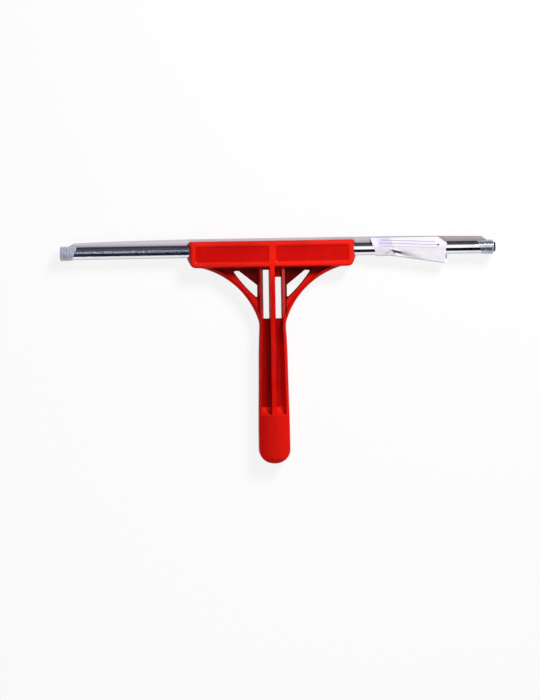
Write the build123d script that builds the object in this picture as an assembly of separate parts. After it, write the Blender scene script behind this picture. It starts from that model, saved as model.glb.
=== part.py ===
from build123d import *
from math import radians, tan
import os

# Window squeegee: a one-piece ribbed handle whose head carries a rolled steel channel, and in
# the channel a rubber blade, with a cap and a bung at each end and a paper label round it.
# Frame: X runs along the bar, +Y points to the wiping edge, +Z is the front.
# The origin is on the flat back of the head, on the handle's centre line, under the bar's axis.
# Every piece is built about the bar's axis and is lifted by half the head's depth at the end.

# Clearances
running_gap = 0.08
fit_gap = 0.10
overrun = 2.0
quarter_turn = 90

# Rolled channel
channel_length = 396.0
channel_diameter = 12.0
channel_wall = 0.8
lip_gap = 2.6
lip_depth = 1.7
lip_round = 0.45
bar_shift = 6.4

# Rubber blade
blade_reach = 5.4
blade_edge_thickness = 1.9
blade_corner_cut = 5.5
blade_relief_length = 125.0
blade_left_relief = 2.1
blade_right_relief = 1.2

# End caps and bungs
cap_skin = 0.4
cap_skirt_length = 15.5
cap_skirt_slant = 4.5
cap_end_wall = 1.2
cap_end_chamfer = 0.5
cap_closed_ring = 2.6
cap_ring_count = 3
cap_ring_first = 1.9
cap_ring_pitch = 2.5
cap_ring_height = 0.55
cap_ring_base = 1.5
cap_ring_crest = 0.6
cap_slot_clearance = 0.5
bung_shank_length = 4.0
bung_nub_diameter = 8.6
bung_proud = 1.8

# Paper label
paper = 0.3
label_place_share = 0.32
label_length = 71.0
label_top_inset = 1.4
label_tail_drop = 8.6
label_hug_drop = 0.5
label_hug_length = 22.0
label_left_slant = 5.5
label_corner_inset = 5.0
label_corner_drop = 7.5
label_tail_inset = 2.5

# Head of the handle
half_depth = 9.5
head_front_half_length = 74.6
head_front_above = 8.7
head_front_below = 15.1
head_front_corner = 3.0
head_draft_ends = 3.6
head_draft_sides = 0.5
head_mid_upper_corner = 4.0
head_mid_lower_corner = 12.0
head_edge_round = 2.2
panel_recess = 1.0
panel_rim_sides = 5.6
panel_rim_ends = 5.0
panel_corner = 1.0
panel_draft = 65.0
blade_slot_clearance = 0.6

# Coring of the head's back, below the bar
core_count = 4
core_first = 6.0
core_pitch = 16.6
core_length = 14.4
core_wall = 1.6
core_front_wall = 2.4
core_corner = 0.8

# Neck and grip
arm_foot_reach = 66.0
arm_mid_reach = 33.0
arm_mid_drop = 33.0
arm_end_reach = 12.8
arm_end_drop = 65.0
arm_half_depth = 5.4
waist_half_width = 12.4
waist_drop = 76.0
palm_half_width = 13.45
palm_place_share = 0.36
butt_half_width = 14.45
butt_tip_length = 13.1
grip_reach = 197.1
shoulder_drop = 46.0
full_depth_drop = 84.0
butt_round_length = 7.0
butt_round_reach = 8.2
outer_round = 3.6
crown_height = 1.6
flange_wall = 2.9
web = 2.6
rib_base = 6.2
rib_crest = 4.4
rib_round = 0.5
rib_setback = 0.3
strip_inner = 8.2
strip_outer = 13.4
strip_inner_draft = 1.0
strip_outer_draft = 2.1
left_slot_start_drop = 17.9
right_slot_start_drop = 24.6
slot_end_drop = 62.8
slot_corner = 1.0
closed_butt_length = 45.3
pocket_corner = 2.4
side_slot_outer_top = (35.6, 18.6)
side_slot_outer_mid = (26.0, 31.4)
side_slot_outer_end = (13.7, 43.8)
side_slot_inner_top = (30.4, 18.6)
side_slot_inner_end = (13.7, 31.9)
side_slot_corner = 0.9

# Sizes that follow from those above
channel_radius = channel_diameter / 2
bore_radius = channel_radius + running_gap
inside_radius = channel_radius - channel_wall
lip_foot = channel_radius - channel_wall - lip_depth
blade_root_thickness = lip_gap - 2 * fit_gap
blade_edge = channel_radius + blade_reach
cap_outer_radius = channel_radius + fit_gap + cap_skin
neck_root = head_front_below - core_wall
butt_drop = grip_reach - butt_tip_length
palm_drop = waist_drop + palm_place_share * (butt_drop - waist_drop)
pocket_end_drop = grip_reach - closed_butt_length
channel_start = bar_shift - channel_length / 2
channel_end = bar_shift + channel_length / 2
right_cap_end = channel_end + cap_end_wall
left_cap_end = channel_start - cap_end_wall - bung_proud
head_end = head_front_half_length + head_draft_ends
free_start = head_end
free_end = right_cap_end - cap_skirt_length
label_start = free_start + label_place_share * (free_end - free_start - label_length)


def box_between(low, high):
    # A block from its lowest to its highest corner.
    size = [b - a for a, b in zip(low, high)]
    middle = [(a + b) / 2 for a, b in zip(low, high)]
    return Pos(*middle) * Box(*size)


def rectangle_between(x_low, x_high, y_low, y_high):
    # A flat rectangle from its lowest to its highest corner.
    centre = Pos((x_low + x_high) / 2, (y_low + y_high) / 2)
    return centre * Rectangle(x_high - x_low, y_high - y_low)


def along_bar(section, start, length):
    # A section drawn with Y across and Z up, run along the bar.
    return Pos(start, 0, 0) * extrude(Plane.YZ * section, amount=length)


def across(section, reach):
    # A profile drawn with Y across and Z up, run the same way to both sides.
    return extrude(Plane.YZ * section, amount=reach, both=True)


# Channel and blade

def channel_section():
    # A strip rolled into a tube, its two edges turned in to grip the blade.
    tube = Circle(channel_radius) - Circle(inside_radius)
    lip_outside = lip_gap / 2 + channel_wall
    lips = Circle(channel_radius) & rectangle_between(
        lip_foot, channel_diameter, -lip_outside, lip_outside)
    mouth = rectangle_between(0, channel_diameter, -lip_gap / 2, lip_gap / 2)
    section = tube + lips - mouth
    shoulders = section.vertices().group_by(Axis.X)[-1]
    section = fillet(shoulders, lip_round)
    feet = [v for v in section.vertices() if abs(v.X - lip_foot) < fit_gap]
    return fillet(feet, channel_wall / 3)


def channel_bar():
    return along_bar(channel_section(), channel_start, channel_length)


def blade_section():
    # A round bead that fills the channel, a neck between the lips and a tapered lip.
    bead = Circle(inside_radius - fit_gap)
    bead -= rectangle_between(
        lip_foot - fit_gap, channel_diameter, -channel_diameter, channel_diameter)
    root = blade_root_thickness / 2
    edge = blade_edge_thickness / 2
    lip = make_face(Polyline(
        (0, -root), (channel_radius, -root), (blade_edge, -edge),
        (blade_edge, edge), (channel_radius, root), (0, root), close=True))
    return bead + lip


def blade_end_wedge(end, side, relief):
    # The edge eases off in a long arc towards each end, where the corner is cut at a slant.
    corner = (end - side * blade_corner_cut, blade_edge - relief)
    ease_start = (end - side * blade_relief_length, blade_edge)
    ease = TangentArc(ease_start, corner, tangent=(side, 0))
    rest = Polyline(
        corner, (end, channel_radius), (end + side * overrun, channel_radius),
        (end + side * overrun, blade_edge + overrun), (ease_start[0], blade_edge + overrun),
        ease_start)
    return extrude(make_face([ease, rest]), amount=channel_radius, both=True)


def blade_rubber():
    start = channel_start + bung_shank_length + fit_gap
    end = channel_end - bung_shank_length - fit_gap
    blade = along_bar(blade_section(), start, end - start)
    blade -= blade_end_wedge(start, -1, blade_left_relief)
    blade -= blade_end_wedge(end, 1, blade_right_relief)
    return blade


# End caps and bungs

def cap_outline():
    # Half the cap's long section: distance from the outer end, and radius.
    points = [(0, 0), (0, cap_outer_radius - cap_end_chamfer), (cap_end_chamfer, cap_outer_radius)]
    for i in range(cap_ring_count):
        middle = cap_ring_first + i * cap_ring_pitch
        points.append((middle - cap_ring_base / 2, cap_outer_radius))
        points.append((middle - cap_ring_crest / 2, cap_outer_radius + cap_ring_height))
        points.append((middle + cap_ring_crest / 2, cap_outer_radius + cap_ring_height))
        points.append((middle + cap_ring_base / 2, cap_outer_radius))
    points.append((cap_skirt_length, cap_outer_radius))
    points.append((cap_skirt_length, 0))
    return make_face(Polyline(*points, close=True))


def end_cap():
    # A thin sleeve with gripping rings, built with its outer end at X=0 and its skirt on +X.
    cap = revolve(cap_outline(), Axis.X)
    cap -= along_bar(Circle(channel_radius + fit_gap), cap_end_wall, cap_skirt_length)
    cap -= along_bar(
        Circle(bung_nub_diameter / 2 + fit_gap), -overrun, cap_end_wall + 2 * overrun)
    slot_half = blade_root_thickness / 2 + cap_slot_clearance
    cap -= box_between(
        (cap_closed_ring, 0, -slot_half),
        (cap_skirt_length + overrun, channel_diameter, slot_half))
    reach = cap_outer_radius + overrun
    slant = cap_skirt_slant * reach / cap_outer_radius
    cap -= extrude(make_face(Polyline(
        (cap_skirt_length + slant / 2 - cap_skirt_slant / 2, reach),
        (cap_skirt_length - slant / 2 - cap_skirt_slant / 2, -reach),
        (cap_skirt_length + reach, -reach),
        (cap_skirt_length + reach, reach), close=True)), amount=channel_diameter, both=True)
    return cap


def end_bung():
    # A stopper behind the blade's bead, built with its shank's inner end at X=0, nub on +X.
    shank = Circle(inside_radius - fit_gap)
    shank -= rectangle_between(
        lip_foot - fit_gap, channel_diameter, -channel_diameter, channel_diameter)
    nub_length = cap_end_wall + bung_proud
    bung = along_bar(shank, 0, bung_shank_length)
    bung += along_bar(Circle(bung_nub_diameter / 2), bung_shank_length, nub_length)
    return bung


# Paper label

def touch_point(point, radius):
    # Where a line from the point touches the front of a circle about the bar's axis.
    x, y = point
    reach = (x * x + y * y) ** 0.5
    along = (radius / reach) ** 2
    off = radius * (reach * reach - radius * radius) ** 0.5 / (reach * reach)
    return (x * along - y * off, y * along + x * off)


def label_section(drop, skin):
    # Down one face of the blade, over the channel, round a loop that may sag, up the other face.
    radius = channel_radius + fit_gap + skin
    top = (blade_edge - label_top_inset, blade_root_thickness / 2 + fit_gap + skin)
    shoulder = touch_point(top, radius)
    bow = Vector(*shoulder) + Vector(0, radius)
    front = [
        Line(top, shoulder),
        ThreePointArc(shoulder, bow.normalized() * radius, (0, radius)),
        Line((0, radius), (-drop, radius)),
        CenterArc((-drop, 0), radius, start_angle=quarter_turn, arc_size=quarter_turn)]
    back = [mirror(edge, Plane.XZ) for edge in front]
    return make_face(front + back + [Line(top, (top[0], -top[1]))])


def label_body(skin, past):
    # The space inside the outline, snug over the first stretch and then sagging away.
    slope = (label_tail_drop - label_hug_drop) / (label_length - label_hug_length)
    stations = [
        (label_start - past, label_hug_drop),
        (label_start + label_hug_length, label_hug_drop),
        (label_start + label_length + past, label_tail_drop + slope * past)]
    return loft(
        [Plane.YZ.offset(x) * label_section(drop, skin) for x, drop in stations], ruled=True)


def paper_label():
    top = blade_edge - label_top_inset
    opening = blade_root_thickness / 2 + fit_gap
    left = label_start
    right = label_start + label_length
    bottom = -(channel_radius + label_tail_drop + overrun)
    label = label_body(paper, 0) - label_body(0, overrun)
    label -= box_between(
        (left - overrun, channel_radius, -opening), (right + overrun, top + overrun, opening))
    outline = make_face(Polyline(
        (left, top), (right - label_corner_inset, top), (right, top - label_corner_drop),
        (right, -channel_radius), (right - label_tail_inset, bottom),
        (left + label_left_slant, bottom), (left + label_left_slant, -channel_radius),
        close=True))
    return label & extrude(outline, amount=channel_diameter, both=True)


# Handle

def rounded_box(half_length, above, below, upper_corner, lower_corner):
    # The head's outline: a rectangle about the bar's axis with rounded corners.
    outline = rectangle_between(-half_length, half_length, -below, above)
    outline = fillet(outline.vertices().group_by(Axis.Y)[0], lower_corner)
    return fillet(outline.vertices().group_by(Axis.Y)[-1], upper_corner)


def head_block():
    # Drafted from the middle plane to a flat, smaller face at the front and at the back.
    middle = rounded_box(
        head_end, head_front_above + head_draft_sides,
        head_front_below + head_draft_sides, head_mid_upper_corner, head_mid_lower_corner)
    front = rounded_box(
        head_front_half_length, head_front_above, head_front_below,
        head_front_corner, head_front_corner)
    half = loft([middle, Plane.XY.offset(half_depth) * front], ruled=True)
    rim = half.faces().sort_by(Axis.Z)[-1].edges()
    half = fillet(rim, head_edge_round)
    return half + mirror(half, Plane.XY)


def panel_recess_cut(side):
    # A shallow tray between the rim and the centre rib, with sloping walls.
    inner = rib_crest / 2 + panel_recess * tan(radians(panel_draft))
    outer = head_front_half_length - panel_rim_ends
    tray = rectangle_between(
        inner, outer, panel_rim_sides - head_front_below, head_front_above - panel_rim_sides)
    tray = fillet(tray.vertices(), panel_corner)
    if side < 0:
        tray = mirror(tray, Plane.YZ)
    return extrude(
        Plane.XY.offset(half_depth - panel_recess) * tray, amount=panel_recess, taper=-panel_draft)


def core_pocket(index, side):
    # One of the deep pockets that thin the plastic behind the bar.
    start = core_first + index * core_pitch
    low = core_wall + head_edge_round - head_front_below
    high = -(bore_radius + core_wall)
    pocket = rectangle_between(start, start + core_length, low, high)
    pocket = fillet(pocket.vertices(), core_corner)
    if side < 0:
        pocket = mirror(pocket, Plane.YZ)
    depth = 2 * half_depth - panel_recess - core_front_wall + overrun
    return extrude(Plane.XY.offset(-half_depth - overrun) * pocket, amount=depth)


def handle_side(wall):
    # The right outer edge seen from the front, moved inwards by a wall: arm first, then grip.
    foot = Vector(arm_foot_reach, -head_front_below)
    end = Vector(arm_end_reach, -arm_end_drop)
    outer = ThreePointArc(foot, (arm_mid_reach, -arm_mid_drop), end)
    inwards = [(point - outer.arc_center).normalized() for point in (foot, outer @ 0.5, end)]
    moved = [foot + inwards[0] * wall, outer @ 0.5 + inwards[1] * wall, end + inwards[2] * wall]
    arm = ThreePointArc(*moved)
    side = Spline(
        arm @ 1, (waist_half_width - wall, -waist_drop), (palm_half_width - wall, -palm_drop),
        (butt_half_width - wall, -butt_drop), tangents=[arm % 1, (0, -1)])
    return arm, side


def handle_plan():
    # Arms and grip seen from the front, from a little inside the head down to the rounded butt.
    arm, side = handle_side(0)
    tip = EllipticalCenterArc(
        (0, -butt_drop), butt_half_width, butt_tip_length,
        start_angle=-quarter_turn, arc_size=quarter_turn)
    half = make_face([
        arm, side, tip,
        Line((0, -grip_reach), (0, -neck_root)),
        Line((0, -neck_root), (arm_foot_reach, -neck_root)),
        Line((arm_foot_reach, -neck_root), arm @ 0)])
    return half + mirror(half, Plane.YZ)


def pocket_plan():
    # What lies inside the outer wall, from inside the head down to the end of the recesses.
    arm, side = handle_side(flange_wall)
    top = neck_root - flange_wall
    half = make_face([
        arm, side,
        Line(side @ 1, (0, -butt_drop)),
        Line((0, -butt_drop), (0, -top)),
        Line((0, -top), (arm_foot_reach, -top)),
        Line((arm_foot_reach, -top), arm @ 0)])
    return half + mirror(half, Plane.YZ)


def depth_profile():
    # Upper half of the side view: shallow arms that swell into a full grip with a rounded butt.
    swell = Spline(
        (-shoulder_drop, arm_half_depth), (-full_depth_drop, half_depth),
        tangents=[(-1, 0), (-1, 0)])
    round_start = butt_round_length - grip_reach
    butt = EllipticalCenterArc(
        (round_start, 0), butt_round_reach, half_depth,
        start_angle=quarter_turn, arc_size=quarter_turn)
    edges = [
        Line((0, 0), (0, arm_half_depth)),
        Line((0, arm_half_depth), (-shoulder_drop, arm_half_depth)),
        swell,
        Line((-full_depth_drop, half_depth), (round_start, half_depth)),
        butt,
        Line((round_start - butt_round_reach, 0), (0, 0))]
    return make_face(edges)


def crown_cut():
    # What is taken off to crown the grip's front and back from side to side.
    radius = (butt_half_width ** 2 + crown_height ** 2) / (2 * crown_height)
    front = Pos(0, half_depth - radius) * Circle(radius)
    back = Pos(0, radius - half_depth) * Circle(radius)
    reach = butt_half_width + overrun
    outside = rectangle_between(-reach, reach, -half_depth - overrun, half_depth + overrun)
    outside -= front & back
    return Pos(0, -arm_end_drop, 0) * extrude(Plane.XZ * outside, amount=grip_reach)


def grip_blank(plan):
    # Arms and grip with their outer edges rounded, before the pockets are sunk.
    side = depth_profile()
    side += mirror(side, Plane.XZ)
    blank = extrude(plan, amount=half_depth, both=True) & across(side, arm_foot_reach + overrun)
    outline = plan.face().outer_wire()
    rim = []
    for edge in blank.edges():
        middle = edge @ 0.5
        on_outline = outline.distance_to(Vertex(middle.X, middle.Y, 0)) < fit_gap
        upright = abs((edge @ 0).Z - (edge @ 1).Z) > half_depth
        if on_outline and not upright and middle.Y < -head_front_below:
            rim.append(edge)
    return fillet(rim, outer_round) - crown_cut()


def pocket_prisms():
    # Front and back recesses inside the outer wall, down to the web, with a scooped lower end.
    scoop = half_depth - web / 2
    floor_end = scoop - pocket_end_drop
    scooped = EllipticalCenterArc(
        (floor_end, half_depth), scoop, scoop,
        start_angle=2 * quarter_turn, arc_size=quarter_turn)
    top = half_depth + overrun
    profile = make_face([
        Line((0, web / 2), (floor_end, web / 2)),
        scooped,
        Line((-pocket_end_drop, half_depth), (-pocket_end_drop, top)),
        Line((-pocket_end_drop, top), (0, top)),
        Line((0, top), (0, web / 2))])
    area = pocket_plan()
    area &= rectangle_between(-arm_foot_reach, arm_foot_reach, -pocket_end_drop, 0)
    area = fillet(area.vertices().group_by(Axis.Y)[0], pocket_corner)
    front = extrude(area, amount=top) & across(profile, arm_foot_reach)
    return front + mirror(front, Plane.XY)


def upright_slot(start_drop):
    # A slot beside the centre rib. Its sides reach a little way in under the rib and the strip.
    hidden = (strip_inner - rib_base / 2) / 8
    outline = rectangle_between(
        rib_base / 2 - hidden, strip_inner + hidden, -slot_end_drop, -start_drop)
    return fillet(outline.vertices(), slot_corner)


def neck_slots():
    # The two upright slots, which start at unlike heights, and the two curved ones in the arms.
    left = mirror(upright_slot(left_slot_start_drop), Plane.YZ)
    right = upright_slot(right_slot_start_drop)
    outer_top = (side_slot_outer_top[0], -side_slot_outer_top[1])
    outer_mid = (side_slot_outer_mid[0], -side_slot_outer_mid[1])
    outer_end = (side_slot_outer_end[0], -side_slot_outer_end[1])
    inner_top = (side_slot_inner_top[0], -side_slot_inner_top[1])
    inner_end = (side_slot_inner_end[0], -side_slot_inner_end[1])
    curved = make_face([
        ThreePointArc(outer_top, outer_mid, outer_end),
        Line(outer_end, inner_end),
        Line(inner_end, inner_top),
        Line(inner_top, outer_top)])
    curved = fillet(curved.vertices(), side_slot_corner)
    outlines = (left, right, curved, mirror(curved, Plane.YZ))
    return [extrude(outline, amount=web, both=True) for outline in outlines]


def neck_strips(blank):
    # The two tapered ribs outside the upright slots, as high as the arms beside them.
    inner_crest = strip_inner + strip_inner_draft
    outer_crest = strip_outer - strip_outer_draft
    section = make_face(Polyline(
        (strip_inner, 0), (inner_crest, arm_half_depth), (outer_crest, arm_half_depth),
        (strip_outer, 0), (outer_crest, -arm_half_depth), (inner_crest, -arm_half_depth),
        close=True))
    length = arm_end_drop - neck_root
    strip = blank & (Pos(0, -neck_root, 0) * extrude(Plane.XZ * section, amount=length))
    return [strip, mirror(strip, Plane.YZ)]


def centre_rib():
    # One tapered rib each way from the middle plane, from the head down into the closed butt.
    crest = rib_crest / 2
    base = rib_base / 2
    height = half_depth - rib_setback
    section = make_face(Polyline(
        (-base, 0), (-crest, height), (crest, height), (base, 0),
        (crest, -height), (-crest, -height), close=True))
    length = pocket_end_drop + pocket_corner - neck_root
    rib = Pos(0, -neck_root, 0) * extrude(Plane.XZ * section, amount=length)
    long_edges = rib.edges().filter_by(Axis.Y).group_by(Axis.Z)
    return fillet(long_edges[0] + long_edges[-1], rib_round)


def head():
    # The drafted block with its trays, its cored back and the keyhole that the bar slides in.
    block = head_block()
    for side in (-1, 1):
        tray = panel_recess_cut(side)
        block -= tray
        block -= mirror(tray, Plane.XY)
        for index in range(core_count):
            block -= core_pocket(index, side)
    reach = head_end + overrun
    slot_half = blade_root_thickness / 2 + blade_slot_clearance
    keyhole = along_bar(Circle(bore_radius), -reach, 2 * reach)
    keyhole += box_between((-reach, 0, -slot_half), (reach, blade_edge, slot_half))
    return block - keyhole


def handle():
    blank = grip_blank(handle_plan())
    body = blank - pocket_prisms()
    for slot in neck_slots():
        body -= slot
    for strip in neck_strips(blank):
        body += strip
    body += centre_rib()
    return body + head()


# Output

def lifted(shape):
    # From the bar's axis to the row's origin on the back of the head.
    return Pos(0, 0, half_depth) * shape


os.makedirs("parts", exist_ok=True)
parts = {
    "handle": handle(),
    "channel_bar": channel_bar(),
    "blade_rubber": blade_rubber(),
    "right_end_cap": Pos(right_cap_end, 0, 0) * mirror(end_cap(), Plane.YZ),
    "left_end_cap": Pos(left_cap_end, 0, 0) * end_cap(),
    "right_end_bung": Pos(channel_end - bung_shank_length, 0, 0) * end_bung(),
    "left_end_bung": Pos(channel_start + bung_shank_length, 0, 0) * mirror(end_bung(), Plane.YZ),
    "paper_label": paper_label(),
}

for name, shape in parts.items():
    export_step(lifted(shape), f"parts/{name}.step")
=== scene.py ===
import math
import bpy
from mathutils import Matrix, Vector, noise


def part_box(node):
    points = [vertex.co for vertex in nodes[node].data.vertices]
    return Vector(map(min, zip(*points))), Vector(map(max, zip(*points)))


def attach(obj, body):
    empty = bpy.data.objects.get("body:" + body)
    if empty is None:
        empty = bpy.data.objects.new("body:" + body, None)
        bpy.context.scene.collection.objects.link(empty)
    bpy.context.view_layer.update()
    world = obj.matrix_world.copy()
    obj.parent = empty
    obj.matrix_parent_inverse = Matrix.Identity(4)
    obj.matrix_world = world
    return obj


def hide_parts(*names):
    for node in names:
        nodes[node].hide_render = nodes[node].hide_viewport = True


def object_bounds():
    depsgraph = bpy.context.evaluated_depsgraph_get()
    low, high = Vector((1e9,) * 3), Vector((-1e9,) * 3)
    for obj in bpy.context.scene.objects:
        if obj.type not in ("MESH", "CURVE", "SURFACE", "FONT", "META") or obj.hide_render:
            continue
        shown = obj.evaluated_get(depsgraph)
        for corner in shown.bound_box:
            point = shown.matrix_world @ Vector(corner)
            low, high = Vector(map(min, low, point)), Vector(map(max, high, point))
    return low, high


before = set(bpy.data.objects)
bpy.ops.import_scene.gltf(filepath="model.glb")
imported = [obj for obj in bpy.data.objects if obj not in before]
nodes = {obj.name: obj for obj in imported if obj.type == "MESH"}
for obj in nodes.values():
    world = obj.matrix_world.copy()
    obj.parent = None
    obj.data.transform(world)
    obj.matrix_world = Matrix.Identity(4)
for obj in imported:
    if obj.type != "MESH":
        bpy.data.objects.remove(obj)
cadLow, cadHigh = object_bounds()
mm = 0.001
print("frame loaded:", sorted(nodes))


# Small helpers

def selectOnly(piece):
    bpy.ops.object.select_all(action="DESELECT")
    piece.select_set(True)
    bpy.context.view_layer.objects.active = piece


def applyModifiers(piece):
    selectOnly(piece)
    for modifier in list(piece.modifiers):
        bpy.ops.object.modifier_apply(modifier=modifier.name)


def dress(node, material):
    for slot in nodes[node].material_slots:
        slot.material = material


def smoothRamp(value, low, high):
    # 0 below low, 1 above high, easing between
    t = min(1, max(0, (value - low) / (high - low)))
    return t * t * (3 - 2 * t)


# Material helpers

class Finish:
    # one material and the few nodes every finish here starts from
    def __init__(self, name):
        self.material = bpy.data.materials.new(name)
        self.material.use_nodes = True
        self.tree = self.material.node_tree
        self.shader = self.tree.nodes["Principled BSDF"]
        self.place = self.add("ShaderNodeTexCoord").outputs["Object"]
        self.lastBump = None

    def add(self, kind, **settings):
        node = self.tree.nodes.new(kind)
        for key, value in settings.items():
            setattr(node, key, value)
        return node

    def join(self, source, target):
        self.tree.links.new(source, target)

    def stretched(self, scale):
        # the object's coordinates, scaled unevenly for streaks and grain
        mapping = self.add("ShaderNodeMapping")
        mapping.inputs["Scale"].default_value = scale
        self.join(self.place, mapping.inputs["Vector"])
        return mapping.outputs["Vector"]

    def noise(self, scale, detail=3, roughness=0.5, vector=None):
        texture = self.add("ShaderNodeTexNoise")
        texture.inputs["Scale"].default_value = scale
        texture.inputs["Detail"].default_value = detail
        texture.inputs["Roughness"].default_value = roughness
        self.join(vector or self.place, texture.inputs["Vector"])
        return texture.outputs["Fac"]

    def axes(self):
        split = self.add("ShaderNodeSeparateXYZ")
        self.join(self.place, split.inputs[0])
        return split.outputs["X"], split.outputs["Y"], split.outputs["Z"]

    def math(self, operation, first, second=None, third=None):
        node = self.add("ShaderNodeMath", operation=operation)
        for socket, value in zip(node.inputs, (first, second, third)):
            if value is None:
                continue
            if isinstance(value, (int, float)):
                socket.default_value = value
            else:
                self.join(value, socket)
        return node.outputs[0]

    def remap(self, value, fromLow, fromHigh, toLow, toHigh, smooth=False):
        node = self.add("ShaderNodeMapRange")
        node.interpolation_type = "SMOOTHSTEP" if smooth else "LINEAR"
        for key, number in (("From Min", fromLow), ("From Max", fromHigh),
                            ("To Min", toLow), ("To Max", toHigh)):
            node.inputs[key].default_value = number
        self.join(value, node.inputs["Value"])
        return node.outputs["Result"]

    def blendColours(self, amount, first, second):
        # mixes two colours or colour sockets by a number or a number socket
        node = self.add("ShaderNodeMix", data_type="RGBA")
        for socket, value in ((node.inputs[0], amount), (node.inputs[6], first), (node.inputs[7], second)):
            if isinstance(value, bpy.types.NodeSocket):
                self.join(value, socket)
            elif isinstance(value, (int, float)):
                socket.default_value = value
            else:
                socket.default_value = (*value, 1)
        return node.outputs[2]

    def distance(self, first, second):
        # how far a point is from the middle, from its two distances across and along
        squares = self.math("ADD", self.math("POWER", first, 2), self.math("POWER", second, 2))
        return self.math("SQRT", squares)

    def far(self, value, middle):
        # the distance to a line at one place along an axis
        return self.math("ABSOLUTE", self.math("SUBTRACT", value, middle))

    def product(self, *values):
        result = values[0]
        for value in values[1:]:
            result = self.math("MULTIPLY", result, value)
        return result

    def bump(self, height, distance, strength=1.0):
        # each bump feeds the next one's Normal, the last one feeds the shader
        node = self.add("ShaderNodeBump")
        node.inputs["Strength"].default_value = strength
        node.inputs["Distance"].default_value = distance
        self.join(height, node.inputs["Height"])
        if self.lastBump is not None:
            self.join(self.lastBump, node.inputs["Normal"])
        self.lastBump = node.outputs["Normal"]
        self.join(self.lastBump, self.shader.inputs["Normal"])

    def colour(self, source):
        self.join(source, self.shader.inputs["Base Color"])

    def rough(self, source):
        self.join(source, self.shader.inputs["Roughness"])

    def fixed(self, **values):
        for key, value in values.items():
            self.shader.inputs[key.replace("_", " ")].default_value = value


# Moulded handle

redMoulding = {
    "midHeight": 9.5 * mm,
    # painted shade for the recesses' floors, also the darker tone of the clouds
    "recessShadeAndCloudRed": (0.3, 0.0006, 0.0012),
    "colour": (0.61, 0.003, 0.0025),
    # painted highlight, on the head's rims and the end of the recesses
    "paintedHighlightColour": (0.86, 0.014, 0.007),
    "floorHeight": 1.6 * mm,
    "armHeight": 5.0 * mm,
    "panelHeight": 8.7 * mm,
    "rimHeight": 9.3 * mm,
    "headFrom": -34 * mm,
    "headTo": -16 * mm,
    "gripFrom": -70 * mm,
    "gripTo": -92 * mm,
    "gripShadedTone": (0.5, 0.0025, 0.002),
    "gripLitTone": (0.74, 0.008, 0.005),
    "gripSpan": (-11 * mm, 12 * mm),
    "paintedLitFloor": (0.66, 0.003, 0.003),
    "litSpan": (1.5 * mm, 10 * mm),
    "paintedWebShadow": (0.07, 0.0006, 0.0011),
    "paintedLitArmFloor": (0.72, 0.007, 0.005),
    "slotArc": (-66.2 * mm, 47.7 * mm, 121.5 * mm),
    "slotShade": (0.5 * mm, 1.5 * mm),
    "headShade": (-21 * mm, -27 * mm, 0.12),
    "webFrom": 13.2 * mm,
    "webTo": -16.2 * mm,
    "webEnd": (-66 * mm, -58 * mm),
    "recessEnd": -148.6 * mm,
    "recessEndHalf": 3.4 * mm,
    "recessReach": 12.2 * mm,
    "recessSoft": 1 * mm,
    "recessHighlightShare": (0.75, 0.3),
    # painted shade and light for the strips beside the slots
    "stripShadedTone": (0.19, 0.025, 0.022),
    "stripLitTone": (0.42, 0.055, 0.05),
    "stripPaintShare": 0.75,
    "stripMiddle": 10.3 * mm,
    "stripHalf": 1.5 * mm,
    "stripSoft": 0.4 * mm,
    "stripFrom": -17 * mm,
    "stripTo": -64 * mm,
    "stripFade": 14 * mm,
    "wallShade": (0.06, 0.001, 0.0015),
    "wallsAt": (-8.6 * mm, 12.7 * mm),
    "wallHalf": 0.5 * mm,
    "wallSoft": 0.2 * mm,
    "wallShare": 0.8,
    "worn": (0.8, 0.03, 0.018),
    "wornShare": 0.25,
    "roughLow": 0.3,
    "roughHigh": 0.46,
    "roughScale": 60,
    "panelRough": 0.1,
    "cloudScale": 22,
    "flowScale": (6, 60, 6),
    "grainScale": 950,
    "grainDepth": 0.00003,
    "swimScale": 90,
    "swimDepth": 0.00014,
    "scratchScale": (900, 40, 900),
    "partingHalf": 0.16 * mm,
    "partingDepth": 0.0001,
    "pinReach": 7.4 * mm,
    "pinRadius": 1.5 * mm,
    "pinRing": 0.22 * mm,
    "pinPitch": 23 * mm,
    "pinDepth": 0.00008,
    "shineTint": (1, 0.16, 0.1, 1),
}


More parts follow.
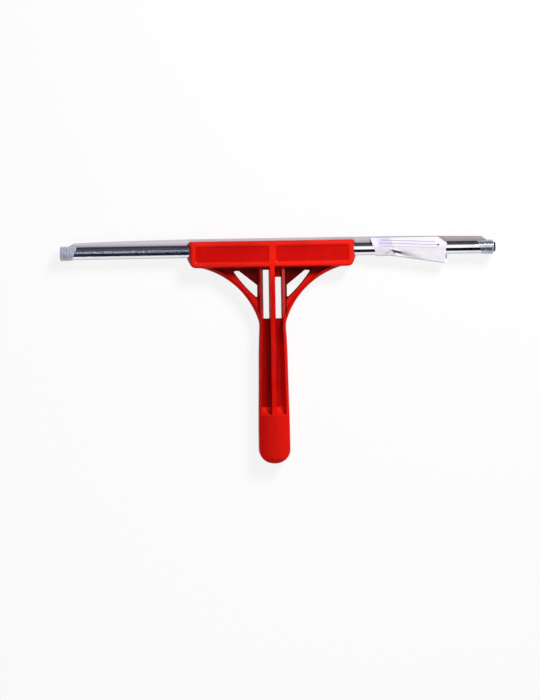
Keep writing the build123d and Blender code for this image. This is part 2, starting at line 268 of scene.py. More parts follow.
def mouldedPlastic():
    s = redMoulding
    f = Finish("redPlastic")
    x, y, z = f.axes()
    out = f.math("ABSOLUTE", x)
    fromMiddle = f.far(z, s["midHeight"])
    up = f.remap(fromMiddle, s["floorHeight"], s["armHeight"], 0, 1, smooth=True)
    onHead = f.remap(y, s["headFrom"], s["headTo"], 0, 1, smooth=True)
    onRim = f.product(f.remap(fromMiddle, s["panelHeight"], s["rimHeight"], 0, 1), onHead)
    onGrip = f.remap(y, s["gripFrom"], s["gripTo"], 0, 1, smooth=True)

    # painted shade: the recesses' floors are darkest in colour, with painted light that makes them less so on
    # the grip's right side
    toRight = f.product(f.remap(x, *s["litSpan"], 0, 1), onGrip)
    floor = f.blendColours(toRight, s["recessShadeAndCloudRed"], s["paintedLitFloor"])

    # painted shadow: the webs are darkest between the head and the curved slots, where the head's shadow
    # falls; painted light on the webs along the arms
    arcX, arcY, arcRadius = s["slotArc"]
    away = f.distance(f.math("SUBTRACT", out, arcX), f.math("SUBTRACT", y, arcY))
    pastSlot = f.remap(away, arcRadius + s["slotShade"][0], arcRadius + s["slotShade"][1], 0, 1)
    shadeFrom, shadeTo, leastLight = s["headShade"]
    lit = f.product(pastSlot, f.remap(y, shadeFrom, shadeTo, leastLight, 1))
    onWeb = f.product(f.math("GREATER_THAN", out, s["webFrom"]), f.math("LESS_THAN", y, s["webTo"]),
                      f.remap(y, *s["webEnd"], 0, 1))
    floor = f.blendColours(onWeb, floor, f.blendColours(lit, s["paintedWebShadow"], s["paintedLitArmFloor"]))

    # painted light: the grip's tops are darker on the left and lighter on the right, and the head's rims
    # carry a painted highlight and are lightest
    gripPaintedLight = f.blendColours(f.remap(x, *s["gripSpan"], 0, 1), s["gripShadedTone"], s["gripLitTone"])
    tops = f.blendColours(onGrip, s["colour"], gripPaintedLight)
    base = f.blendColours(up, floor, tops)
    base = f.blendColours(onRim, base, s["paintedHighlightColour"])

    # painted highlight along the end of the recesses, stronger on their floors than on the tops
    fromEnd = f.far(y, s["recessEnd"])
    paintedEndHighlight = f.product(
        f.remap(fromEnd, s["recessEndHalf"], s["recessEndHalf"] + s["recessSoft"], 1, 0, smooth=True),
        f.remap(out, s["recessReach"], s["recessReach"] + s["recessSoft"], 1, 0),
        f.remap(up, 0, 1, *s["recessHighlightShare"]))
    base = f.blendColours(paintedEndHighlight, base, s["paintedHighlightColour"])

    # painted shade and light on the strips beside the slots: dull, darker on the left strip and lighter on
    # the right one
    fromStrip = f.far(out, s["stripMiddle"])
    onStrip = f.remap(fromStrip, s["stripHalf"], s["stripHalf"] + s["stripSoft"], 1, 0)
    lengthwise = f.product(f.math("LESS_THAN", y, s["stripFrom"]),
                           f.remap(y, s["stripTo"], s["stripTo"] + s["stripFade"], 0, 1))
    stripPaintedLight = f.blendColours(f.math("GREATER_THAN", x, 0), s["stripShadedTone"], s["stripLitTone"])
    base = f.blendColours(f.product(onStrip, lengthwise, up, s["stripPaintShare"]), base, stripPaintedLight)

    # their sides that face right lie in shade
    for wallAt in s["wallsAt"]:
        onWall = f.remap(f.far(x, wallAt), s["wallHalf"], s["wallHalf"] + s["wallSoft"], s["wallShare"], 0)
        base = f.blendColours(f.product(onWall, lengthwise), base, s["wallShade"])

    # clouds and flow lines in the colour, then fine scuffs
    cloud = f.noise(s["cloudScale"], 4, 0.55)
    flow = f.noise(1, 3, 0.5, f.stretched(s["flowScale"]))
    tone = f.math("MULTIPLY_ADD", cloud, 0.6, f.product(flow, 0.4))
    base = f.blendColours(f.remap(tone, 0.36, 0.52, 0.35, 0), base, s["recessShadeAndCloudRed"])
    scratch = f.noise(1, 2, 0.6, f.stretched(s["scratchScale"]))
    scuffed = f.remap(scratch, 0.62, 0.72, 0, 1)
    f.colour(f.blendColours(f.product(scuffed, s["wornShare"]), base, s["worn"]))
    gloss = f.remap(f.noise(s["roughScale"], 4, 0.6), 0.35, 0.65, s["roughLow"], s["roughHigh"])
    duller = f.product(f.math("SUBTRACT", 1, onRim), s["panelRough"])
    f.rough(f.math("ADD", f.math("MULTIPLY_ADD", scuffed, 0.08, gloss), duller))

    # skin of the moulding: slow swim, fine grain
    f.bump(f.noise(s["swimScale"], 2, 0.4), s["swimDepth"])
    f.bump(f.noise(s["grainScale"], 2, 0.5), s["grainDepth"])

    # the line where the mould's halves met
    f.bump(f.remap(fromMiddle, 0, s["partingHalf"], 1, 0, smooth=True), s["partingDepth"])

    # round marks of the ejector pins down the recesses
    across = f.math("SUBTRACT", out, s["pinReach"])
    along = f.math("SUBTRACT", f.math("PINGPONG", y, s["pinPitch"] / 2), s["pinPitch"] / 4)
    edge = f.far(f.distance(across, along), s["pinRadius"])
    inGrip = f.math("LESS_THAN", y, s["gripFrom"])
    f.bump(f.product(f.remap(edge, 0, s["pinRing"], 1, 0, smooth=True), inGrip), s["pinDepth"], 0.7)
    f.fixed(IOR=1.49, Specular_IOR_Level=0.2, Specular_Tint=s["shineTint"])
    return f.material


# Rolled channel

platedStrip = {
    "colour": (0.8, 0.81, 0.86),
    "dullColour": (0.42, 0.44, 0.52),
    # painted shade along the lips
    "lipShade": (0.06, 0.052, 0.066),
    "lipShadeFrom": 4.3 * mm,
    "lipShadeTo": 5.0 * mm,
    "lipShadeScale": 700,
    "lipShadeWander": 0.6 * mm,
    # painted shade for the tube's lowest edge
    "underside": (0.5, 0.48, 0.5),
    "undersideAt": -4.7 * mm,
    "undersideSoft": 0.5 * mm,
    "roughLow": 0.03,
    "roughHigh": 0.08,
    "rippleScale": (330, 120, 120),
    "rippleDepth": 0.00022,
    "calmShare": 0.05,
    "rippleFrom": -20 * mm,
    "rippleTo": -70 * mm,
    "drawScale": (8, 900, 900),
    "drawDepth": 0.00002,
}


def platedSteel():
    s = platedStrip
    f = Finish("platedSteel")
    x, y, _ = f.axes()
    left = f.remap(x, s["rippleTo"], s["rippleFrom"], 1, s["calmShare"], smooth=True)
    ripple = f.noise(1, 2, 0.5, f.stretched(s["rippleScale"]))
    drawn = f.noise(1, 2, 0.5, f.stretched(s["drawScale"]))
    stain = f.noise(45, 5, 0.6)
    base = f.blendColours(f.remap(stain, 0.5, 0.8, 0, 0.5), s["colour"], s["dullColour"])

    # painted shade along the lips, where the blade comes out
    edge = f.math("MULTIPLY_ADD", f.noise(s["lipShadeScale"], 3, 0.6), s["lipShadeWander"], y)
    base = f.blendColours(f.remap(edge, s["lipShadeFrom"], s["lipShadeTo"], 0, 1), base, s["lipShade"])

    # painted shade on the underside, where it mirrors the floor in the tube's own shadow
    low = f.remap(y, s["undersideAt"] - s["undersideSoft"], s["undersideAt"], 1, 0)
    f.colour(f.blendColours(low, base, s["underside"]))
    f.rough(f.remap(f.noise(120, 4, 0.6), 0.35, 0.7, s["roughLow"], s["roughHigh"]))
    f.bump(f.product(ripple, left), s["rippleDepth"])
    f.bump(drawn, s["drawDepth"])
    f.fixed(Metallic=1.0)
    return f.material


# Rubber blade

bladeRubber = {
    "leftColour": (0.6, 0.565, 0.64),
    "rightColour": (0.34, 0.29, 0.305),
    "greyFrom": 60 * mm,
    "greyTo": 190 * mm,
    "cloudReach": 60 * mm,
    "dust": (0.68, 0.65, 0.69),
    "footShadeColour": (0.02, 0.015, 0.02),
    "footShade": 0.28,
    "footFrom": 5.9 * mm,
    "footTo": 8.6 * mm,
    "lineScale": (4, 1400, 1400),
    "lineDepth": 0.00004,
    "speckScale": 700,
}


def extrudedRubber():
    s = bladeRubber
    f = Finish("bladeRubber")
    # greyer towards the left end, warmer to the right, and painted shade along the foot, where it meets the
    # tube
    x, y, _ = f.axes()
    place = f.math("MULTIPLY_ADD", f.noise(30, 4, 0.6), s["cloudReach"], x)
    base = f.blendColours(f.remap(place, s["greyFrom"], s["greyTo"], 0, 1), s["leftColour"], s["rightColour"])
    foot = f.remap(y, s["footFrom"], s["footTo"], s["footShade"], 0, smooth=True)
    base = f.blendColours(foot, base, s["footShadeColour"])
    specks = f.remap(f.noise(s["speckScale"], 3, 0.6), 0.62, 0.75, 0, 0.5)
    f.colour(f.blendColours(specks, base, s["dust"]))
    f.rough(f.remap(f.noise(200, 3), 0.3, 0.7, 0.5, 0.68))
    f.bump(f.noise(1, 2, 0.5, f.stretched(s["lineScale"])), s["lineDepth"])
    f.bump(f.noise(s["speckScale"], 2), 0.00002)
    f.fixed(Specular_IOR_Level=0.35)
    return f.material


# End caps and bungs

capSleeve = {
    "left": {"colour": (0.4, 0.43, 0.54), "paleColour": (0.6, 0.62, 0.72), "metalShare": 0.3,
             "roughLow": 0.2, "roughHigh": 0.34},
    "right": {"colour": (0.4, 0.42, 0.52), "paleColour": (0.6, 0.62, 0.72), "metalShare": 0.85,
              "roughLow": 0.05, "roughHigh": 0.12},
}


def milkyPlastic(side):
    # a thin clear sleeve, so most of what shows is the plated tube under it, less so on the left
    s = capSleeve[side]
    f = Finish(side + "MilkyPlastic")
    cloud = f.noise(160, 4, 0.6)
    f.colour(f.blendColours(f.remap(cloud, 0.35, 0.7, 0, 1), s["colour"], s["paleColour"]))
    f.rough(f.remap(f.noise(420, 3), 0.3, 0.7, s["roughLow"], s["roughHigh"]))
    f.bump(f.noise(600, 2), 0.00003)
    f.fixed(Metallic=s["metalShare"])
    return f.material


bungRubber = {
    "colour": (0.003, 0.0035, 0.006),
    "greyed": (0.014, 0.014, 0.018),
}


def blackRubber():
    s = bungRubber
    f = Finish("bungRubber")
    bloom = f.remap(f.noise(300, 4, 0.6), 0.45, 0.75, 0, 1)
    f.colour(f.blendColours(bloom, s["colour"], s["greyed"]))
    f.rough(f.remap(f.noise(500, 3), 0.3, 0.7, 0.5, 0.7))
    f.bump(f.noise(1100, 3), 0.00004)
    f.fixed(Specular_IOR_Level=0.15)
    return f.material


# Paper label

labelLow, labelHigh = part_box("paper_label")
tubeLow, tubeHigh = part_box("channel_bar")

label = {
    "colour": (0.78, 0.735, 0.81),
    # painted light for the lower part of the wrap
    "paintedLitWhite": (0.95, 0.92, 0.97),
    "gapShade": (0.05, 0.035, 0.085),
    "tint": (0.5, 0.44, 0.66),
    "rule": (0.14, 0.1, 0.24),
    # painted shade in the crease
    "crease": (0.03, 0.018, 0.055),
    "paintedLightSpan": (-4 * mm, 2 * mm),
    "upperSpan": (-1 * mm, 3 * mm),
    "insideSpan": (5 * mm, 9 * mm),
    "tintShare": 0.5,
    "ruleSlope": -0.045,
    "ruleRise": 5.4 * mm,
    "ruleHalf": (0.25 * mm, 0.55 * mm),
    "dotPitch": 1.1 * mm,
    "dotSpan": (0.4 * mm, 0.7 * mm),
    "markAt": (62.6 * mm, 2.85 * mm),
    "markSpan": (0.7 * mm, 1.2 * mm),
    "beyondSpan": (-12 * mm, -8.5 * mm),
    "beyondBelow": -3 * mm,
    "beyondEnd": 3 * mm,
    "beyondShare": 0.9,
    "fibreScale": 2600,
    "fibreDepth": 0.00003,
    "columns": 150,
    "rows": 120,
    "thickness": 0.14 * mm,
    "gap": 0.2 * mm,
    "clearance": 0.1 * mm,
    "bladeHalf": 1.25 * mm,
    "hugLength": 19 * mm,
    "hugDrop": 0.5 * mm,
    "tailDrop": 8.3 * mm,
    "foldRunOut": 12 * mm,
    "foldShare": 0.93,
    "foldPinch": (0.74, 0.8),
    "foldRise": (3.0 * mm, 2.5 * mm),
    "leftSlant": 5.5 * mm,
    "cornerInset": 8.2 * mm,
    "cornerDrop": 5.6 * mm,
    "rightInset": 1.1 * mm,
    "notchSpan": (1 * mm, 4 * mm),
    "tailInset": 1.2 * mm,
    "backPast": 1.7 * mm,
    "creaseAt": (24.0 * mm, -2.9 * mm),
    "creaseHalf": 5.0 * mm,
    "creaseSlope": -0.26,
    "creaseDepth": 0.8 * mm,
    "creaseWidth": 0.9 * mm,
    "ridgeAt": 1.1,
    "troughAt": 0.5,
    "troughShare": 1.2,
    "valleyRise": 4 * mm,
    "valleyFall": 5 * mm,
    "valleyLength": 30 * mm,
    "valleyDepth": 1.3 * mm,
    "valleyBelow": 1.4 * mm,
    "valleyHalf": 2.4 * mm,
    "crumple": 0.1 * mm,
    "crumpleScale": (130, 210),
    "fineShare": 0.4,
    "fineScale": (420, 520),
    "stepAt": 18.0 * mm,
    "stepSlope": 0.45,
    "stepSoft": 0.2 * mm,
    "stepHeight": 0.12 * mm,
}

# plain printed rules, with nothing written on them: height, strength, start and end in mm
printedRules = ((7.0, 0.75, 9.5, 60), (4.3, 0.8, 8, 64), (1.7, 0.4, 12, 62))

# where the crease has painted shade, in mm from its middle: along the bar, and below the crease's line
creaseDark = {
    "pocketLeft": (-4.6, -3.6),
    "pocketRight": (3.8, 6.2),
    "pocketHalf": (0.55, 1.25),
    "cornerAt": (-2.2, 1.9),
    "cornerSpread": 0.9,
    "cornerShare": 0.8,
    "wingAt": -7,
    "wingHalf": (3, 4.5),
    "wingFrom": -4.2,
    "wingSlope": 0.75,
    "wingShare": 0.3,
    "valleyStart": (1, 5),
    "valleyFade": (6, 24),
    "valleyLine": (1.0, 0.03),
    "valleySpread": 1.4,
    "valleyShare": 0.42,
}

tubeRadius = (tubeHigh.z - tubeLow.z) / 2
axisHeight = (tubeHigh.z + tubeLow.z) / 2


def wrapPath(x):
    # the paper's line round the bar at one place along it: straight runs and arcs, in Y and Z
    # about the bar's axis
    hugEnd = labelLow.x + label["hugLength"]
    t = smoothRamp(x, hugEnd, labelHigh.x + label["foldRunOut"]) / label["foldShare"]
    past = max(0, x - hugEnd) / (labelHigh.x - hugEnd)
    drop = label["hugDrop"] + (label["tailDrop"] - label["hugDrop"]) * past
    big = tubeRadius + label["gap"]
    pinch, rise = (pair[0] + (pair[1] - pair[0]) * t for pair in (label["foldPinch"], label["foldRise"]))
    small = big * (1 - pinch)
    low = Vector((-(drop + big - small), rise))
    top = Vector((labelHigh.y, label["bladeHalf"]))
    reach = top.length
    along = (big / reach) ** 2
    off = big * math.sqrt(reach * reach - big * big) / reach ** 2
    touch = Vector((top.x * along - top.y * off, top.y * along + top.x * off))
    start = math.atan2(touch.y, touch.x)
    toLow = math.atan2(low.y, low.x) % (2 * math.pi)
    lean = math.acos(min(1, (big - small) / low.length))
    leave, back = toLow - lean, toLow + lean
    atAngle = lambda centre, radius, turn: centre + radius * Vector((math.cos(turn), math.sin(turn)))
    origin = Vector((0, 0))
    mirrored = 2 * math.pi - start
    return [
        ("line", top, touch),
        ("arc", origin, big, start, leave),
        ("line", atAngle(origin, big, leave), atAngle(low, small, leave)),
        ("arc", low, small, leave, back),
        ("line", atAngle(low, small, back), atAngle(origin, big, back)),
        ("arc", origin, big, back, mirrored),
        ("line", atAngle(origin, big, mirrored), Vector((top.x, -top.y))),
    ]


def runLength(run):
    if run[0] == "line":
        return (run[2] - run[1]).length
    return run[2] * abs(run[4] - run[3])


def wrapPoint(runs, share):
    # the point and the outward direction at a share of the whole wrap
    left = share * sum(runLength(run) for run in runs)
    for run in runs:
        length = runLength(run)
        if left > length and run is not runs[-1]:
            left -= length
            continue
        t = min(1, left / length)
        if run[0] == "line":
            along = (run[2] - run[1]).normalized()
            return run[1].lerp(run[2], t), Vector((along.y, -along.x))
        turn = run[3] + (run[4] - run[3]) * t
        out = Vector((math.cos(turn), math.sin(turn)))
        return run[1] + out * run[2], out


def edgesAt(y, onBack):
    # the paper's left and right edges at a height on the bar: slanted left, cut corner right
    down = min(1, max(0, (labelHigh.y - y) / (labelHigh.y + tubeRadius)))
    leftEdge = labelLow.x + label["leftSlant"] * down
    cut = min(1, max(0, (labelHigh.y - y) / label["cornerDrop"]))
    below = min(1, max(0, (-tubeRadius - y) / label["tailDrop"]))
    notch = label["rightInset"] * (1 - smoothRamp(y, *label["notchSpan"]))
    rightEdge = labelHigh.x - label["cornerInset"] * (1 - cut) - notch - label["tailInset"] * below
    return leftEdge, rightEdge + (label["backPast"] if onBack else 0)


def creaseShade(x, y):
    # how much painted shade the paper gets in and below the crease: the pocket, its corner, a fold to the
    # left of it and the valley that runs on to the right
    c = creaseDark
    along = (x - labelLow.x - label["creaseAt"][0]) / mm
    below = (label["creaseAt"][1] - y) / mm + label["creaseSlope"] * along
    pocket = smoothRamp(along, *c["pocketLeft"]) * (1 - smoothRamp(along, *c["pocketRight"]))
    pocket *= 1 - smoothRamp(abs(below), *c["pocketHalf"])
    cornerAlong, cornerBelow = c["cornerAt"]
    fromCorner = (along - cornerAlong) ** 2 + (below - cornerBelow) ** 2
    corner = c["cornerShare"] * math.exp(-fromCorner / c["cornerSpread"])
    fromWing = below + c["wingSlope"] * (along - c["wingFrom"])
    wing = c["wingShare"] * math.exp(-fromWing ** 2)
    wing *= 1 - smoothRamp(abs(along - c["wingAt"]), *c["wingHalf"])
    valleyBelow, valleySlope = c["valleyLine"]
    fromValley = (below - valleyBelow - valleySlope * along) / c["valleySpread"]
    valley = c["valleyShare"] * math.exp(-fromValley ** 2)
    valley *= smoothRamp(along, *c["valleyStart"]) * (1 - smoothRamp(along, *c["valleyFade"]))
    return min(1, max(pocket, corner, wing, valley))


def lift(x, y, onFront):
    # how far the paper stands off its smooth wrap: crumple, crease, valley, second layer
    s = label
    coarse, fine = s["crumpleScale"], s["fineScale"]
    offset = s["crumple"] * noise.noise(Vector((x * coarse[0], y * coarse[1], 3.1 if onFront else 9.7)))
    offset += s["fineShare"] * s["crumple"] * noise.noise(Vector((x * fine[0], y * fine[1], 5.3)))
    if not onFront:
        return offset
    fromCrease = x - labelLow.x - s["creaseAt"][0]
    line = s["creaseAt"][1] + s["creaseSlope"] * fromCrease
    away = (y - line) / s["creaseWidth"]
    ridge = math.exp(-(away - s["ridgeAt"]) ** 2)
    trough = s["troughShare"] * math.exp(-(away + s["troughAt"]) ** 2)
    offset += s["creaseDepth"] * math.exp(-(fromCrease / s["creaseHalf"]) ** 2) * (ridge - trough)
    valley = smoothRamp(fromCrease, -s["valleyRise"], s["valleyRise"])
    valley *= 1 - smoothRamp(fromCrease, s["valleyFall"], s["valleyLength"])
    offset -= s["valleyDepth"] * valley * math.exp(-((y - line + s["valleyBelow"]) / s["valleyHalf"]) ** 2)
    stepLine = labelLow.x + s["stepAt"] - (y - labelHigh.y) * s["stepSlope"]
    offset += s["stepHeight"] * smoothRamp(x - stepLine, -s["stepSoft"], s["stepSoft"])
    return offset


def wrappedLabel():
    s = label
    bpy.ops.object.select_all(action="DESELECT")
    bpy.ops.mesh.primitive_grid_add(x_subdivisions=s["columns"], y_subdivisions=s["rows"], size=1)
    piece = bpy.context.object
    piece.name = "label_wrap"
    shade = piece.data.attributes.new("creaseShade", "FLOAT", "POINT")
    front = piece.data.attributes.new("frontSide", "FLOAT", "POINT")
    for vertex in piece.data.vertices:
        across, around = vertex.co.x + 0.5, 0.5 - vertex.co.y
        x = labelLow.x + across * (labelHigh.x - labelLow.x)
        for _ in range(4):
            (y, z), out = wrapPoint(wrapPath(x), around)
            leftEdge, rightEdge = edgesAt(y, around > 0.5)
            x = leftEdge + across * (rightEdge - leftEdge)
        onFront = around < 0.5 and out.y > 0
        raised = lift(x, y, onFront)
        front.data[vertex.index].value = 1 if onFront else 0
        shade.data[vertex.index].value = creaseShade(x, y) if onFront else 0
        spot = Vector((y, z)) + out * raised
        # the paper never sinks into the tube
        if spot.length < tubeRadius + label["clearance"]:
            spot = spot.normalized() * (tubeRadius + label["clearance"])
        vertex.co = (x, spot.x, axisHeight + spot.y)
    piece.data.update()
    return piece


def labelPaper():
    s = label
    f = Finish("labelPaper")
    x, y, _ = f.axes()
    sideMark = f.add("ShaderNodeAttribute", attribute_name="frontSide").outputs["Fac"]
    front = f.math("GREATER_THAN", sideMark, 0.5)
    paintedCreaseShade = f.add("ShaderNodeAttribute", attribute_name="creaseShade").outputs["Fac"]
    cloud = f.noise(70, 4, 0.6)

    # the part left of the second layer is tinted, most of all near the blade
    stepStart = labelLow.x + s["stepAt"] + labelHigh.y * s["stepSlope"]
    fromStep = f.math("MULTIPLY_ADD", y, s["stepSlope"], f.math("SUBTRACT", x, stepStart))
    under = f.remap(fromStep, -0.4 * mm, 0.4 * mm, 1, 0)
    upper = f.remap(y, *s["upperSpan"], 0.15, 1, smooth=True)
    inside = f.remap(x, *(labelLow.x + edge for edge in s["insideSpan"]), 0, 1, smooth=True)
    tinted = f.product(under, upper, inside, front, s["tintShare"])
    # painted light: the paper is lighter towards the bottom of the wrap, where it turns down away from the
    # lamp
    base = f.blendColours(f.remap(y, *s["paintedLightSpan"], 1, 0, smooth=True), s["colour"], s["paintedLitWhite"])
    base = f.blendColours(f.remap(cloud, 0.35, 0.65, 0, 0.16), base, s["tint"])
    base = f.blendColours(tinted, base, s["tint"])

    for height, share, start, end in printedRules:
        slope = f.math("MULTIPLY_ADD", x, s["ruleSlope"], height * mm + s["ruleRise"])
        line = f.remap(f.far(y, slope), *s["ruleHalf"], 1, 0, smooth=True)
        along = f.product(f.math("GREATER_THAN", x, labelLow.x + start * mm),
                          f.math("LESS_THAN", x, labelLow.x + end * mm))
        dots = f.remap(f.math("PINGPONG", x, s["dotPitch"]), *s["dotSpan"], 0.35, 1)
        base = f.blendColours(f.product(line, along, dots, front, share), base, s["rule"])

    # one round mark, then the painted shade in and below the crease
    markX, markY = s["markAt"]
    fromMark = f.distance(f.math("SUBTRACT", x, labelLow.x + markX), f.math("SUBTRACT", y, markY))
    base = f.blendColours(f.product(f.remap(fromMark, *s["markSpan"], 0.9, 0), front), base, s["rule"])
    base = f.blendColours(paintedCreaseShade, base, s["crease"])

    # the inner side of the back layer shows past the front one below the tube, in its shade
    beyond = f.product(f.remap(y, *s["beyondSpan"], 0, 1, smooth=True),
                       f.math("LESS_THAN", y, s["beyondBelow"]), f.math("SUBTRACT", 1, front),
                       f.math("GREATER_THAN", x, labelHigh.x - s["beyondEnd"]), s["beyondShare"])
    f.colour(f.blendColours(beyond, base, s["gapShade"]))
    f.rough(f.remap(f.noise(300, 3), 0.3, 0.7, 0.72, 0.9))
    f.bump(f.noise(s["fibreScale"], 4, 0.7), s["fibreDepth"])
    f.bump(f.noise(1, 3, 0.6, f.stretched((300, 900, 300))), 0.00003)
    f.fixed(Specular_IOR_Level=0.2)
    return f.material


print("dressing the packed parts")
dress("handle", mouldedPlastic())
dress("channel_bar", platedSteel())
dress("blade_rubber", extrudedRubber())
for side in ("left", "right"):
    dress(side + "_end_cap", milkyPlastic(side))
    dress(side + "_end_bung", blackRubber())

print("wrapping the label")
paper = wrappedLabel()
thicken = paper.modifiers.new("thickness", "SOLIDIFY")
thicken.thickness = label["thickness"]
thicken.offset = 0
applyModifiers(paper)
paper.data.materials.append(labelPaper())
selectOnly(paper)
bpy.ops.object.shade_smooth_by_angle(angle=math.radians(40))
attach(paper, "bar")
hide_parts("paper_label")


# Floor, room and light

studio = {
    "floorSize": 6,
    "floorColour": (0.9, 0.9, 0.9),
    "floorShine": 0.84,
    "worldStrength": 0.17,
    "keyPlace": (0.6, 0.85, 0.95),
    "keySize": 0.4,
    "keyPower": 20,
    "fillPlace": (-0.1, -0.55, 0.85),
    "fillSize": 0.6,
    "fillPower": 2.4,
}


def whiteForRays(tree, strengthBelow):
    # 1 for rays that come from the camera or off gloss and glass, less for all others
    path = tree.nodes.new("ShaderNodeLightPath")
    seen = None
    for name in ("Is Camera Ray", "Is Glossy Ray", "Is Transmission Ray"):
        if seen is None:
            seen = path.outputs[name]
            continue
        larger = tree.nodes.new("ShaderNodeMath")
        larger.operation = "MAXIMUM"
        tree.links.new(seen, larger.inputs[0])
        tree.links.new(path.outputs[name], larger.inputs[1])
        seen = larger.outputs[0]
    level = tree.nodes.new("ShaderNodeMapRange")
    level.inputs["To Min"].default_value = strengthBelow
    level.inputs["To Max"].default_value = 1
    tree.links.new(seen, level.inputs["Value"])
    return seen, level.outputs["Result"]


def whiteFloor():
    bpy.ops.object.select_all(action="DESELECT")
    bpy.ops.mesh.primitive_plane_add(size=studio["floorSize"], location=(0, 0, cadLow.z - 0.05 * mm))
    floor = bpy.context.object
    floor.name = "floor"
    material = bpy.data.materials.new("floorPaper")
    material.use_nodes = True
    tree = material.node_tree
    surface = tree.nodes["Principled BSDF"]
    surface.inputs["Base Color"].default_value = (*studio["floorColour"], 1)
    surface.inputs["Roughness"].default_value = 0.9
    surface.inputs["Specular IOR Level"].default_value = 0.0
    glow = tree.nodes.new("ShaderNodeEmission")
    glow.inputs["Color"].default_value = (1, 1, 1, 1)
    mix = tree.nodes.new("ShaderNodeMixShader")
    seen, _ = whiteForRays(tree, 0)
    share = tree.nodes.new("ShaderNodeMath")
    share.operation = "MULTIPLY"
    share.inputs[1].default_value = studio["floorShine"]
    tree.links.new(seen, share.inputs[0])
    tree.links.new(share.outputs[0], mix.inputs[0])
    tree.links.new(surface.outputs[0], mix.inputs[1])
    tree.links.new(glow.outputs[0], mix.inputs[2])
    tree.links.new(mix.outputs[0], tree.nodes["Material Output"].inputs["Surface"])
    floor.data.materials.append(material)


def whiteRoom():
    world = bpy.data.worlds.new("room")
    bpy.context.scene.world = world
    world.use_nodes = True
    background = world.node_tree.nodes["Background"]
    background.inputs["Color"].default_value = (1, 1, 1, 1)
    _, level = whiteForRays(world.node_tree, studio["worldStrength"])
    world.node_tree.links.new(level, background.inputs["Strength"])


def softLamp(name, place, size, power, aim=(0, -0.08, 0.01)):
    bpy.ops.object.light_add(type="AREA", location=place)
    lamp = bpy.context.object
    lamp.name = name
    lamp.data.shape = "SQUARE"
    lamp.data.size = size
    lamp.data.energy = power
    lamp.rotation_euler = (Vector(aim) - Vector(place)).to_track_quat("-Z", "Y").to_euler()


# what the plated tube mirrors: dark strips overhead, grey walls behind the blade, and over the
# left stretch a dim ceiling with bright dashes
mirroredCards = {
    "stripRight": {"low": (0.0, -0.95, 0.5), "high": (0.8, -0.06, 0.5), "shade": (0.008, 0.007, 0.01)},
    "stripLeft": {"low": (-0.8, -0.95, 0.5), "high": (0.0, -0.07, 0.5), "shade": (0.005, 0.007, 0.022)},
    "dimCeiling": {"low": (-0.8, -0.07, 0.502), "high": (0.0, 0.4, 0.502), "shade": (0.07, 0.075, 0.125),
                   "dashes": {"scale": (220, 4, 1), "from": 0.57, "to": 0.63, "shade": (2.2, 2.3, 2.6)}},
    "brightCeiling": {"low": (0.0, -0.06, 0.502), "high": (0.8, 0.4, 0.502), "shade": (1.25, 1.24, 1.2)},
    "wallRight": {"low": (0.0, 0.06, 0.0), "high": (0.32, 0.06, 0.068), "shade": (0.1, 0.09, 0.115)},
    "wallLeft": {"low": (-0.32, 0.06, 0.0), "high": (0.0, 0.06, 0.105), "shade": (0.085, 0.08, 0.105)},
}


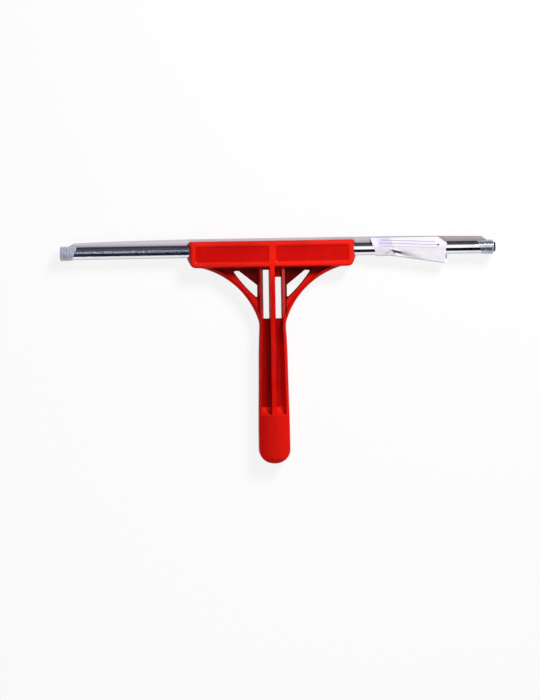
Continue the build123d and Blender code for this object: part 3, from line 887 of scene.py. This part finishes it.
def reflectionCard(name, low, high, shade, dashes=None):
    # a flat card that only shiny surfaces see, between two corners that share one coordinate,
    # plain or with bright dashes
    middle = [(a + b) / 2 for a, b in zip(low, high)]
    upright = low[1] == high[1]
    bpy.ops.object.select_all(action="DESELECT")
    turn = (math.radians(90), 0, 0) if upright else (0, 0, 0)
    bpy.ops.mesh.primitive_plane_add(size=1, location=middle, rotation=turn)
    card = bpy.context.object
    card.name = name
    card.scale = (high[0] - low[0], (high[2] - low[2]) if upright else (high[1] - low[1]), 1)
    bpy.ops.object.transform_apply(location=False, rotation=False, scale=True)
    material = bpy.data.materials.new(name)
    material.use_nodes = True
    tree = material.node_tree
    glow = tree.nodes.new("ShaderNodeEmission")
    glow.inputs["Color"].default_value = (*shade, 1)
    if dashes:
        place = tree.nodes.new("ShaderNodeTexCoord")
        scaled = tree.nodes.new("ShaderNodeMapping")
        scaled.inputs["Scale"].default_value = dashes["scale"]
        spots = tree.nodes.new("ShaderNodeTexNoise")
        spots.inputs["Scale"].default_value = 1
        spots.inputs["Detail"].default_value = 2
        level = tree.nodes.new("ShaderNodeMapRange")
        level.inputs["From Min"].default_value = dashes["from"]
        level.inputs["From Max"].default_value = dashes["to"]
        mix = tree.nodes.new("ShaderNodeMix")
        mix.data_type = "RGBA"
        mix.inputs[6].default_value = (*shade, 1)
        mix.inputs[7].default_value = (*dashes["shade"], 1)
        tree.links.new(place.outputs["Object"], scaled.inputs["Vector"])
        tree.links.new(scaled.outputs["Vector"], spots.inputs["Vector"])
        tree.links.new(spots.outputs["Fac"], level.inputs["Value"])
        tree.links.new(level.outputs["Result"], mix.inputs[0])
        tree.links.new(mix.outputs[2], glow.inputs["Color"])
    tree.links.new(glow.outputs[0], tree.nodes["Material Output"].inputs["Surface"])
    card.data.materials.append(material)
    card.visible_camera = False
    card.visible_diffuse = False
    card.visible_shadow = False
    card.visible_transmission = False


print("floor, room and light")
whiteFloor()
whiteRoom()
softLamp("keyLamp", studio["keyPlace"], studio["keySize"], studio["keyPower"])
softLamp("fillLamp", studio["fillPlace"], studio["fillSize"], studio["fillPower"])
for cardName, card in mirroredCards.items():
    reflectionCard(cardName, **card)


# Camera

view = {
    "aim": (-3.24 * mm, -91.53 * mm, 19 * mm),
    "distance": 2.5,
    "tiltX": -3.02,
    "tiltY": -2.96,
    "roll": -1.06,
    "pixelsPerRadian": 2714.4,
    "frameHeight": 700,
}


def photographerCamera():
    bpy.ops.object.camera_add()
    camera = bpy.context.object
    turn = (Matrix.Rotation(math.radians(view["roll"]), 4, "Z")
            @ Matrix.Rotation(math.radians(view["tiltX"]), 4, "X")
            @ Matrix.Rotation(math.radians(view["tiltY"]), 4, "Y"))
    place = Vector(view["aim"]) + turn @ Vector((0, 0, view["distance"]))
    camera.matrix_world = Matrix.Translation(place) @ turn
    camera.data.lens = camera.data.sensor_width * view["pixelsPerRadian"] / view["frameHeight"]
    camera.data.clip_start = 0.05
    bpy.context.scene.camera = camera


photographerCamera()
bpy.context.scene.view_settings.view_transform = "Standard"
